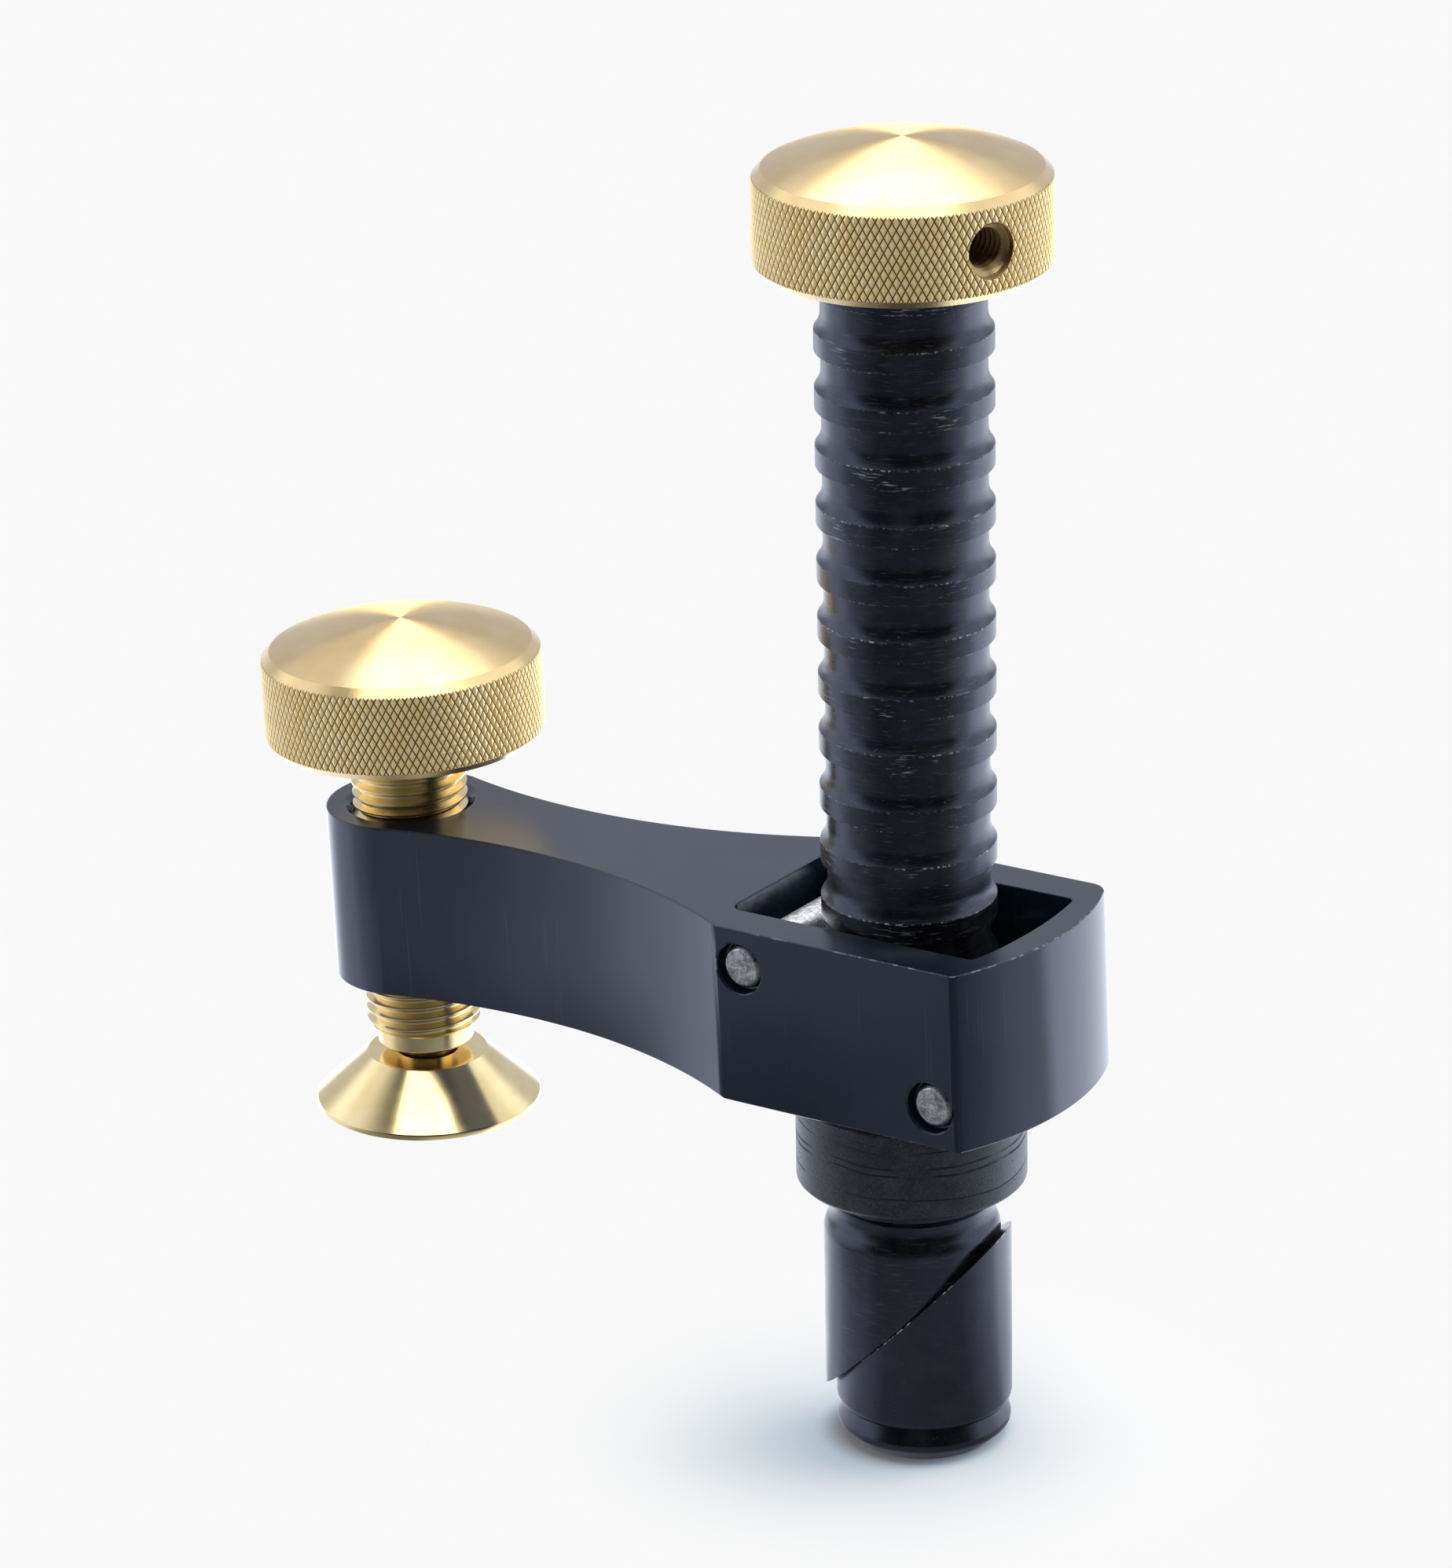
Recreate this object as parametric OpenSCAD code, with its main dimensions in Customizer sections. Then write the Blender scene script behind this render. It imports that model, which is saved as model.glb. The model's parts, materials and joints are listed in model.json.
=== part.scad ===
// Bench hold-down for a round dog hole: ringed post with a wedge foot, sliding arm and clamp screw.
// Origin: post axis at the bench top, +Z up, the arm reaches along -X and its flat face looks along -Y.

/* [Foot] */
// diameter of the bench hole
hole_d = 19.05; // [15:0.05:25]
// how much smaller the stem is than the hole, on the diameter
stem_play = 0.15; // [0.05:0.05:0.5]
// height of the undercut neck below the collar, to the middle of its shoulder
neck_h = 4.5; // [2:0.5:5]
// depth of the undercut neck
neck_depth = 0.9; // [0.5:0.1:2]
// angle of the slanted cut from level
cut_angle = 45; // [30:1:55]
// height of the slanted cut on the post axis, below the bench top
cut_drop = 15.5; // [14.5:0.5:20]
// direction the slanted cut rises toward, about the post axis
cut_turn = 15; // [0:1:359]
// length of the whole foot below the bench top
foot_len = 30; // [29:0.5:36]
// sideways shift of the wedge as drawn
wedge_shift = 1.2; // [0:0.1:1.6]

/* [Post] */
// outside diameter of the rings
ring_d = 18.5; // [14:0.1:24]
// depth of the grooves between the rings
ring_depth = 0.7; // [0.3:0.1:1.2]
// distance from ring to ring
ring_pitch = 6.2; // [4:0.1:10]
// height of one ring
ring_land = 2.2; // [1:0.1:3]
// number of rings
ring_count = 15; // [8:1:20]
// outside diameter of the collar
collar_d = 24.6; // [23:0.1:32]
// height of the collar
collar_h = 10.2; // [9:0.1:10.2]
// diameter of the draw rod
rod_d = 8; // [6:0.5:9]

/* [Knobs] */
// diameter over the knurl
knob_d = 30.8; // [26:0.2:36]
// height of the knurled band
knurl_h = 8.5; // [6:0.5:12]
// height of the chamfer above and below the knurl
knob_chamfer = 1; // [0.5:0.1:1.5]
// height of the domed top
dome_h = 3.1; // [1:0.1:4]
// thread diameter of the radial hole in the top knob
knob_hole_d = 4.8; // [3:0.1:6]
// direction of the radial hole about the post axis
knob_hole_turn = -20.5; // [-180:0.5:180]

/* [Arm] */
// reach from the post axis to the clamp screw
reach = 66.2; // [60:0.2:90]
// thickness of the arm
arm_h = 19.7; // [17:0.1:24]
// width of the housing round the post
house_w = 29.2; // [28.4:0.2:40]
// radius of the rounded end round the screw
nose_r = 9.3; // [8.5:0.1:12]
// width of the arm at its waist
waist_w = 13.2; // [10:0.2:18]
// radius of the hollow sides
hollow_r = 66.5; // [62:0.5:75]
// how far the rounded far end stands behind the post axis
tail = 18.6; // [18.2:0.1:23]
// radius of the rounded far end
tail_r = 32; // [30:1:60]
// radius of the pocket's far end
pocket_end_r = 48; // [44:1:80]
// width of the pocket beyond the rings, on both sides together
pocket_play = 0.8; // [0.4:0.1:1.6]
// how far the screw end sags in the released position as drawn
sag = 2; // [1:0.5:3]
// height of the arm's top face on the post axis as drawn
arm_top = 31; // [31:0.5:60]
// diameter of the cross pins
pin_d = 4.76; // [4:0.02:5]
// distance of each cross pin from the nearest face
pin_inset = 4.4; // [4:0.1:5]
// gap between the upper pin and the rings
pin_gap = 0.12; // [0.08:0.02:0.3]
// how far the lower pin stands off the rings when released
pin_release = 0.5; // [0.45:0.05:0.8]

/* [Clamp screw] */
// thread diameter
screw_d = 12.7; // [10:0.1:14]
// thread pitch
screw_pitch = 1.27; // [0.8:0.01:2]
// height of the knob's underside above the arm as drawn
knob_lift = 7.6; // [1:0.2:8]
// length of thread below the arm as drawn
thread_below = 6.5; // [6:0.5:12]
// length of the plain end below the thread
plain_len = 2.2; // [1:0.1:4]
// diameter of the plain end
plain_d = 10.6; // [8:0.1:11]

/* [Pad] */
// diameter of the pad's foot
pad_d = 24.9; // [20:0.1:36]
// diameter of the pad's flat top
pad_top_d = 13.2; // [11:0.1:16]
// height of the pad
pad_h = 5.9; // [5.8:0.1:9]
// height of the pad's rim
pad_rim = 0.6; // [0.4:0.1:1.5]
// gap between the plain end and the pad's top
pad_gap = 1.1; // [1:0.1:2]

/* [Hidden] */
$fn = 96;
eps = 0.01;
// clearances
run_gap = 0.05;
fixed_gap = 0.02;
slide_gap = 0.08;
wide_gap = 0.25;
// foot
stem_r = (hole_d - stem_play) / 2;
neck_r = stem_r - neck_depth;
cut_tan = tan(cut_angle);
slant_gap = 0.03;
bead_h = 3;
bead_notch = 0.8;
foot_r = stem_r - 1.95;
wedge_most = 1.7;
rod_end_r = rod_d / 2 - 0.9;
rod_thread_pitch = 1.27;
nut_h = 3.8;
nut_r = rod_end_r + 1.9;
nut_flat = rod_end_r + 0.9;
nut_room = 0.6;
wedge_hole_r = rod_end_r + wedge_most / 2 + wide_gap;
nut_slot_r = nut_r + wedge_most / 2 + wide_gap;
slot_top = -foot_len + nut_room + nut_h + 0.1;
// post
ring_r = ring_d / 2;
groove_r = ring_r - ring_depth;
first_gap = 1.6;
post_top = collar_h + first_gap + ring_land + (ring_count - 1) * ring_pitch;
rod_r = rod_d / 2;
rod_bore_r = rod_r + slide_gap;
collar_bore_r = ring_r + run_gap;
rod_shoulder = -cut_drop + 7;
// knobs
knob_r = knob_d / 2;
knob_face_r = knob_r - knob_chamfer;
knob_total = 2 * knob_chamfer + knurl_h + dome_h;
dome_r = (knob_face_r * knob_face_r + dome_h * dome_h) / (2 * dome_h);
knob_z = post_top + 0.25;
hub_depth = knob_chamfer + knurl_h - 1;
knob_hole_z = knob_chamfer + knurl_h / 2;
set_r = knob_hole_d / 2 - fixed_gap;
set_len = 5.5;
// arm
house_r = house_w / 2;
waist_r = waist_w / 2;
pocket_r = ring_r + pocket_play / 2;
nose_bite = 0.02;
hollow_x = sqrt(pow(hollow_r + nose_r - nose_bite, 2) - pow(waist_r + hollow_r, 2));
hollow_at = reach - hollow_x;
tail_at = tail_r - tail;
tail_wall = 3.4;
nose_join = nose_r / (hollow_r + nose_r);
pocket_in = ring_r + 7.1;
pocket_corner = 1.6;
pin_r = pin_d / 2;
pin_bore_r = pin_r + run_gap;
pin_mouth_r = pin_r + 0.4;
pin_mouth = 1.5;
pin_recess = 0.5;
pin_len = house_w - 2 * pin_recess;
// pins stand either side of the rings; the distances turn from the post's frame into the arm's
upper_x = ring_r + pin_r + pin_gap;
lower_x = ring_r + pin_r + pin_release;
upper_c = -pin_inset;
lower_c = pin_inset - arm_h;
upper_a = (upper_x - upper_c * sin(sag)) / cos(sag);
lower_a = (lower_x + lower_c * sin(sag)) / cos(sag);
// clamp screw, measured in the arm's frame from its top face
screw_r = screw_d / 2;
thread_depth = screw_pitch * 0.5;
screw_bore_r = screw_r + 0.06;
thread_end = -arm_h - thread_below;
plain_end = thread_end - plain_len;
plain_r = plain_d / 2;
screw_hub = hub_depth - 0.5;
// pad joint
stub_r = 3;
stub_neck_r = 2.5;
clip_r = 3.7;
clip_h = 0.8;
clip_bore_r = stub_neck_r + 0.1;
clip_drop = pad_gap + 2;
clip_c = plain_end - clip_drop;
stub_below = 1.7;
stub_chamfer = 0.8;
pad_lip_r = stub_r + 0.45;
pad_lip = 0.75;
pad_room_r = clip_r + 0.3;
pad_room = pad_lip + 2.3;
pad_well_r = stub_r + 0.35;
pad_well = 4.3;
// pivot of the pad in the post's frame
clip_x = -reach * cos(sag) - clip_c * sin(sag);
clip_z = arm_top - reach * sin(sag) + clip_c * cos(sag);
pad_top_z = clip_z + clip_drop - pad_gap;

black = [0.16, 0.17, 0.2];
dark = [0.25, 0.25, 0.26];
brass = [0.83, 0.69, 0.38];
steel = [0.72, 0.72, 0.74];

// puts its children in the arm's frame: origin on the arm's top face, sagging with the arm
module in_arm() {
    translate([0, 0, arm_top]) rotate([0, -sag, 0]) children();
}

// puts its children on the clamp screw's axis, in the arm's frame
module on_screw() {
    in_arm() translate([-reach, 0, 0]) children();
}

// everything below the slanted cut, lowered by a gap along Z
module below_cut(gap) {
    size = 8 * stem_r;
    rotate([0, 0, cut_turn]) translate([0, 0, -cut_drop - gap]) rotate([0, -cut_angle, 0])
        translate([-size / 2, -size / 2, -size]) cube(size);
}

// outline of a thread drawn as rings, running down from top to bottom, closed on the axis
function thread_rings(r, depth, pitch, top, bottom) =
    let (n = floor((top - bottom) / pitch))
    [for (i = [0 : n - 1], j = [0 : 3])
        let (z = top - i * pitch)
        j == 0 ? [r - depth, z] :
        j == 1 ? [r - depth, z - pitch * 0.15] :
        j == 2 ? [r, z - pitch * 0.45] : [r, z - pitch * 0.7]];

// ringed post with neck and slanted stem, bored for the draw rod
module post() {
    rings = [for (i = [0 : ring_count - 1], j = [0 : 3])
        let (z = post_top - i * ring_pitch)
        j == 0 ? [ring_r, z] :
        j == 1 ? [ring_r, z - ring_land] :
        j == 2 ? [groove_r, z - ring_land] :
        [groove_r, i == ring_count - 1 ? collar_h : z - ring_pitch]];
    stem = [[ring_r, collar_h], [ring_r, 0], [neck_r, 0], [neck_r, -neck_h + 1.3],
        [neck_r + 0.2 * neck_depth, -neck_h + 0.6], [stem_r - 0.2 * neck_depth, -neck_h - 0.6],
        [stem_r, -neck_h - 1.3], [stem_r, -foot_len]];
    color(dark)
    difference() {
        rotate_extrude() polygon(concat([[0, post_top]], rings, stem, [[0, -foot_len]]));
        below_cut(0);
        translate([0, 0, -foot_len - eps]) cylinder(r = rod_bore_r, h = foot_len + post_top + 1);
    }
}

// ring that stands on the bench
module collar() {
    r = collar_d / 2;
    c = 0.5;
    color(dark)
    difference() {
        rotate_extrude() polygon([[0, 0], [r - c, 0], [r, c], [r, collar_h - c], [r - c, collar_h], [0, collar_h]]);
        translate([0, 0, -1]) cylinder(r = collar_bore_r, h = collar_h + 2);
    }
}

// lower half of the split foot, drawn shifted up the slant
module wedge() {
    z0 = -foot_len;
    notch = z0 + bead_h;
    outline = [[0, z0], [foot_r, z0], [stem_r - 0.6, z0 + 0.6], [stem_r, z0 + bead_h * 0.5],
        [stem_r - 0.4, notch - 0.5], [stem_r - bead_notch, notch], [stem_r - bead_notch, notch + 0.4],
        [stem_r - 0.4, notch + 1.2], [stem_r, notch + 2.6], [stem_r, 0], [0, 0]];
    color(dark)
    difference() {
        intersection() {
            rotate([0, 0, cut_turn]) translate([wedge_shift, 0, 0]) rotate_extrude() polygon(outline);
            below_cut(slant_gap);
        }
        rotate([0, 0, cut_turn]) translate([wedge_shift - wedge_most / 2, 0, 0]) {
            translate([0, 0, z0 - eps]) cylinder(r = wedge_hole_r, h = foot_len);
            intersection() {
                translate([0, 0, z0 - eps]) cylinder(r = nut_slot_r, h = slot_top - z0);
                translate([-stem_r, -nut_flat - wide_gap, z0 - 1])
                    cube([2 * stem_r, 2 * (nut_flat + wide_gap), foot_len]);
            }
        }
    }
}

// rod through the post, with a threaded lower end
module draw_rod() {
    low = -foot_len + nut_room;
    top = knob_z + hub_depth - 0.3;
    threads = thread_rings(rod_end_r, 0.5, rod_thread_pitch, slot_top + 4, low);
    tip = threads[len(threads) - 1];
    color(steel)
    rotate_extrude()
        polygon(concat([[0, top], [rod_r - 0.5, top], [rod_r, top - 0.5], [rod_r, rod_shoulder],
            [rod_end_r, rod_shoulder - 0.6], [rod_end_r, slot_top + 4.2]], threads, [[tip[0], low], [0, low]]));
}

// nut with two flats that sits in the foot of the wedge
module draw_nut() {
    color(steel)
    rotate([0, 0, cut_turn]) translate([0, 0, -foot_len + nut_room])
    difference() {
        intersection() {
            cylinder(r = nut_r, h = nut_h);
            translate([-nut_r, -nut_flat, 0]) cube([2 * nut_r, 2 * nut_flat, nut_h]);
        }
        translate([0, 0, -1]) cylinder(r = rod_end_r + run_gap, h = nut_h + 2);
    }
}

// body of both knobs, standing on its underside
module knob_body() {
    z = 2 * knob_chamfer + knurl_h;
    steps = 10;
    half = asin(knob_face_r / dome_r);
    dome = [for (i = [0 : steps])
        let (a = half * (1 - i / steps))
        [dome_r * sin(a), z + dome_h - dome_r + dome_r * cos(a)]];
    rotate_extrude()
        polygon(concat([[0, 0], [knob_face_r, 0], [knob_r, knob_chamfer], [knob_r, knob_chamfer + knurl_h]], dome));
}

// radial threaded hole from the rim to the hub, with a countersunk mouth
module radial_hole() {
    translate([0, 0, knob_hole_z]) rotate([0, 90, 0]) {
        cylinder(d = knob_hole_d, h = knob_r + 1);
        translate([0, 0, knob_r - 0.6]) cylinder(r1 = knob_hole_d / 2, r2 = knob_hole_d / 2 + 0.9, h = 0.9);
    }
}

// set screw in the inner end of a radial hole, resting on a shaft of radius r
module set_screw(r) {
    translate([0, 0, knob_hole_z]) rotate([0, 90, 0])
    difference() {
        translate([0, 0, r + fixed_gap]) cylinder(r = set_r, h = set_len);
        translate([0, 0, r + set_len - 2]) cylinder(r = 1.2, h = 3, $fn = 6);
    }
}

// knob on the draw rod
module top_knob() {
    color(brass)
    translate([0, 0, knob_z])
    difference() {
        knob_body();
        translate([0, 0, -eps]) cylinder(r = rod_r + fixed_gap, h = hub_depth);
        rotate([0, 0, knob_hole_turn]) radial_hole();
    }
}

// set screw that holds the top knob on the rod
module knob_set_screw() {
    color(steel)
    translate([0, 0, knob_z]) rotate([0, 0, knob_hole_turn]) set_screw(rod_r);
}

// outline of the arm seen from above; the hollows bite into the nose a little, so that they cross it cleanly
module arm_outline() {
    join = -reach + hollow_x * nose_join;
    translate([-reach, 0]) circle(r = nose_r, $fn = 128);
    difference() {
        translate([join, -house_r]) square([tail + 1 - join, house_w]);
        for (s = [-1, 1]) translate([-hollow_at, s * (waist_r + hollow_r)]) circle(r = hollow_r, $fn = 360);
        difference() {
            translate([0, -house_w]) square([tail + 2, 2 * house_w]);
            translate([-tail_at, 0]) circle(r = tail_r, $fn = 360);
        }
    }
}

// outline of the pocket the post stands in
module pocket_outline() {
    k = pocket_corner;
    intersection() {
        union() {
            translate([-pocket_in + k, -pocket_r]) square([pocket_in + tail, 2 * pocket_r]);
            translate([-pocket_in, -pocket_r + k]) square([2 * k, 2 * (pocket_r - k)]);
            for (s = [-1, 1]) translate([-pocket_in + k, s * (pocket_r - k)]) circle(r = k);
        }
        translate([tail - tail_wall - pocket_end_r, 0]) circle(r = pocket_end_r, $fn = 360);
    }
}

// hole for a cross pin through both walls, wider at the mouths
module pin_hole() {
    rotate([90, 0, 0]) {
        cylinder(r = pin_bore_r, h = house_w + 2, center = true);
        for (s = [0, 180]) rotate([s, 0, 0]) translate([0, 0, house_r - pin_mouth])
            cylinder(r = pin_mouth_r, h = pin_mouth + 1);
    }
}

// cross pin with rounded-off ends
module pin() {
    c = 0.4;
    h = pin_len / 2;
    rotate([90, 0, 0]) rotate_extrude()
        polygon([[0, -h], [pin_r - c, -h], [pin_r, -h + c], [pin_r, h - c], [pin_r - c, h], [0, h]]);
}

// sliding arm
module arm() {
    sink = 0.9;
    color(black)
    in_arm()
    difference() {
        translate([0, 0, -arm_h]) linear_extrude(arm_h) arm_outline();
        translate([0, 0, -arm_h - 1]) linear_extrude(arm_h + 2) pocket_outline();
        translate([-reach, 0, -arm_h - 1]) cylinder(r = screw_bore_r, h = arm_h + 2);
        translate([-reach, 0, -sink]) cylinder(r1 = screw_bore_r, r2 = screw_bore_r + sink, h = sink + eps);
        translate([-reach, 0, -arm_h - eps]) cylinder(r1 = screw_bore_r + sink, r2 = screw_bore_r, h = sink);
        translate([-upper_a, 0, upper_c]) pin_hole();
        translate([lower_a, 0, lower_c]) pin_hole();
    }
}

// pin the arm rocks on
module upper_pin() {
    color(steel)
    in_arm() translate([-upper_a, 0, upper_c]) pin();
}

// pin that bears on the far side of the post
module lower_pin() {
    color(steel)
    in_arm() translate([lower_a, 0, lower_c]) pin();
}

// threaded screw with a plain end and a grooved stub for the pad
module clamp_screw() {
    top = knob_lift + screw_hub;
    threads = thread_rings(screw_r, thread_depth, screw_pitch, knob_lift + 0.6, thread_end);
    lip = threads[len(threads) - 1];
    low = clip_c - stub_below;
    groove = clip_h / 2 + 0.06;
    color(brass)
    on_screw()
    rotate_extrude()
        polygon(concat([[0, top], [screw_r, top], [screw_r, knob_lift + 0.6]], threads,
            [[lip[0], thread_end], [plain_r, thread_end], [plain_r, plain_end + 0.3],
            [plain_r - 0.3, plain_end], [stub_r, plain_end], [stub_r, clip_c + groove],
            [stub_neck_r, clip_c + groove], [stub_neck_r, clip_c - groove], [stub_r, clip_c - groove],
            [stub_r, low + stub_chamfer], [stub_r - stub_chamfer, low], [0, low]]));
}

// knob on the clamp screw
module clamp_knob() {
    color(brass)
    on_screw() translate([0, 0, knob_lift])
    difference() {
        knob_body();
        translate([0, 0, -eps]) cylinder(r = screw_r + fixed_gap, h = hub_depth);
        rotate([0, 0, 180]) radial_hole();
    }
}

// set screw that holds the clamp knob on its screw
module clamp_set_screw() {
    color(steel)
    on_screw() translate([0, 0, knob_lift]) rotate([0, 0, 180]) set_screw(screw_r);
}

// open spring ring in the groove of the stub
module pad_clip() {
    open_w = 2.4;
    color(steel)
    on_screw() translate([0, 0, clip_c])
    difference() {
        translate([0, 0, -clip_h / 2]) cylinder(r = clip_r, h = clip_h);
        translate([0, 0, -clip_h]) cylinder(r = clip_bore_r, h = 2 * clip_h);
        translate([0, -open_w / 2, -clip_h]) cube([2 * clip_r, open_w, 2 * clip_h]);
    }
}

// pad that hangs upright on the end of the screw
module swivel_pad() {
    r = pad_d / 2;
    color(brass)
    translate([clip_x, 0, pad_top_z])
    difference() {
        rotate_extrude() polygon([[0, 0], [pad_top_d / 2, 0], [r, -pad_h + pad_rim], [r, -pad_h], [0, -pad_h]]);
        translate([0, 0, -pad_lip - eps]) cylinder(r = pad_lip_r, h = pad_lip + 1);
        translate([0, 0, -pad_room]) cylinder(r = pad_room_r, h = pad_room - pad_lip);
        translate([0, 0, -pad_well]) cylinder(r = pad_well_r, h = pad_well);
    }
}

post();
collar();
wedge();
draw_rod();
draw_nut();
top_knob();
knob_set_screw();
arm();
upper_pin();
lower_pin();
clamp_screw();
clamp_knob();
clamp_set_screw();
pad_clip();
swivel_pad();
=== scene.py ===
"""Bench hold-down: modelled pieces, finishes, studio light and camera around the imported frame."""
import json
import math

import bpy
from mathutils import Matrix, Vector


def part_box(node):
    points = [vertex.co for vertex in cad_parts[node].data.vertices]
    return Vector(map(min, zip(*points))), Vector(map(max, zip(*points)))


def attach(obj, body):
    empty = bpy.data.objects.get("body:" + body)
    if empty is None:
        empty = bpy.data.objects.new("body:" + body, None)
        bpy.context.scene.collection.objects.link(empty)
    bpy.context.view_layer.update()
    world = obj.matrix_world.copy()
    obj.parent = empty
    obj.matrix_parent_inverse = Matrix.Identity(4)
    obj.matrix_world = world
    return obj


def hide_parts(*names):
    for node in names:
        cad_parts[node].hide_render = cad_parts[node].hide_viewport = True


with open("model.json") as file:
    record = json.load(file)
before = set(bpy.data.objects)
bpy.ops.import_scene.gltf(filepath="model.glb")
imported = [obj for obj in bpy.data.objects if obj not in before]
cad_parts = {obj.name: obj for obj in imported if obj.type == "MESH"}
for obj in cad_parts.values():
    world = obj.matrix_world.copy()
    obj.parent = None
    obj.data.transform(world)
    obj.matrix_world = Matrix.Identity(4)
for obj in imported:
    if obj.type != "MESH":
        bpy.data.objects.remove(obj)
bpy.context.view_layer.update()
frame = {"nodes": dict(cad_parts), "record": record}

MM = 0.001
PICTURE = (1848, 1995)

# Smoothness of turned work, how near points merge or match, and how far a cutting body reaches past a piece
TURN_STEPS = 160
SHAFT_STEPS = 96
BORE_STEPS = 64
MERGE = 0.0005
NEAR = 0.01
PAST = 1

# Foot and post, in millimetres
BENCH_STEM_R = 9.45
NECK_R = 8.55
NECK_LINE = -2.1
NECK_LINE_DEPTH = 0.3
NECK_LINE_ABOVE = 0.2
NECK_LINE_BELOW = 0.3
NECK_TOP = -3
NECK_FOOT = -5.85
NECK_STEPS = 10
CUT_ANGLE = math.radians(45)
CUT_DROP = 15.5
CUT_TURN = math.radians(15)
CUT_GAP = 0.12
FOOT_Z = -30
WEDGE_SHIFT = 1.2
WEDGE_MOST = 1.7
WEDGE_HOLE_R = 4.2
NUT_SLOT_R = 6.1
NUT_SLOT_HALF = 4.25
NUT_SLOT_TOP = -25.5
NUT_SLOT_DEPTH = 10
NUT_SLOT_TOOL = 40
BEAD_R = 0.9
BEAD_WIDE_R = 9.32
BEAD_WIDEST = -27.85
BEAD_UNDER = math.radians(-55)
BEAD_FLARE = math.radians(24)
BEAD_FACE_R = 7.4
BEAD_STEPS = 12
NOTCH_R = 8.58
NOTCH_Z = -25.95
NOTCH_EASE = 0.96
FOOT_ROUND = 1.5
FOOT_ROUND_TOP = -24.7
FOOT_ROUND_STEPS = 10
WEDGE_EDGE = 0.1
RING_R = 9.25
RING_DEPTH = 0.7
RING_PITCH = 6.2
RING_LAND = 2.2
RING_COUNT = 15
RING_COVE = 1.9
RING_COVE_STEPS = 8
POST_EDGE = 0.06
ROD_BORE_R = 4.08
COLLAR_BORE_R = 9.3
COLLAR_CHAMFER = 0.5
COLLAR_EDGE = 0.12

# Knobs
KNOB_CHAMFER = 1
KNURL_H = 8.5
DOME_H = 3.1
DOME_STEPS = 24
KNOB_EDGE = 0.07
KNOB_CREASE = 14
KNURL_COUNT = 114
KNURL_ROW = 1.53
KNURL_GROOVE = 0.08
KNURL_DEPTH = 0.14
KNURL_EDGE = 0.23
KNURL_CROWN = 0.09
KNURL_SPARE = 0.05
BAND_SPARE = 0.1
BAND_DEPTH = 0.3
HUB_DEPTH = 8.5
KNOB_HOLE_TURN = math.radians(-20.5)
KNOB_HOLE_R = 2.4
KNOB_HOLE_PITCH = 0.8
KNOB_HOLE_START = 1
KNOB_TAP_OVER = 0.2
KNOB_TAP_DEPTH = 0.45
KNOB_MOUTH_R = 2.75
KNOB_MOUTH = 1.3
KNOB_MOUTH_SEAT = 0.3
KNOB_FLARE = 0.6
KNOB_FLARE_IN = 0.35
KNOB_FLARE_OUT = 0.25
TOP_BORE_R = 4.02
CLAMP_BORE_R = 6.37

# Arm, in its own sagging frame with the origin on its top face
SAG = math.radians(2)
ARM_TOP = 31
REACH = 66.2
ARM_H = 19.7
HOUSE_R = 14.6
NOSE_R = 9.3
WAIST_R = 6.6
NOSE_BITE = 0.03
NOSE_STEPS = 56
HOLLOW_R = 66.5
HOLLOW_STEPS = 40
TAIL = 18.6
TAIL_R = 32
TAIL_STEPS = 40
TAIL_WALL = 3.4
TAIL_FRONT_CORNER = 0.9
TAIL_BACK_CORNER = 2.4
FRONT_CORNER_STEPS = 6
BACK_CORNER_STEPS = 8
POCKET_R = 9.65
POCKET_IN = 16.35
POCKET_END_R = 48
POCKET_CORNER = 1.6
POCKET_CORNER_STEPS = 8
POCKET_FAR_CORNER = 0.7
PIN_BORE_R = 2.43
PIN_MOUTH_R = 2.78
PIN_MOUTH = 1.5
PIN_CHAMFER = 0.4
PIN_EDGE = 0.15
PIN_STEPS = 72
SCREW_BORE_R = 6.41
SCREW_SINK = 0.9
ARM_EDGE = 0.22
ARM_EDGE_STEPS = 3
ARM_EDGE_ANGLE = 40
ARM_CREASE = 28

# Clamp screw and pad
SCREW_R = 6.35
SCREW_PITCH = 1.27
SCREW_DEPTH = 0.635
SCREW_EDGE = 0.08
SCREW_CREASE = 24
THREAD_FLAT = 0.14
THREAD_FLANK = 0.36
THREAD_SPARE = 1.5
KNOB_LIFT = 7.6
THREAD_TOP = KNOB_LIFT + HUB_DEPTH - 0.5
THREAD_END = -ARM_H - 6.5
PLAIN_R = 5.3
PLAIN_CHAMFER = 0.3
PLAIN_END = THREAD_END - 2.2
STUB_R = 3
STUB_NECK_R = 2.5
CLIP_AT = PLAIN_END - 3.1
CLIP_HALF = 0.46
STUB_END = CLIP_AT - 1.7
STUB_CHAMFER = 0.8
PAD_TOP_R = 6.6
PAD_RIM = 0.6
PAD_LIP_R = 3.45
PAD_LIP = 0.75
PAD_ROOM_R = 4
PAD_ROOM = 3.05
PAD_WELL_R = 3.35
PAD_WELL = 4.3
PAD_EDGE = 0.1


def corners(node):
    """Lowest and highest corner of a solid, in millimetres."""
    low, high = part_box(node)
    return low / MM, high / MM


POST_TOP = corners("post")[1].z
COLLAR_R = corners("collar")[1].x
COLLAR_H = corners("collar")[1].z
KNOB_Z = corners("top_knob")[0].z
KNOB_TOTAL = corners("top_knob")[1].z - KNOB_Z
KNOB_R = corners("top_knob")[1].x
PAD_LOW, PAD_HIGH = corners("swivel_pad")
UPPER_PIN = corners("upper_pin")
LOWER_PIN = corners("lower_pin")

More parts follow.
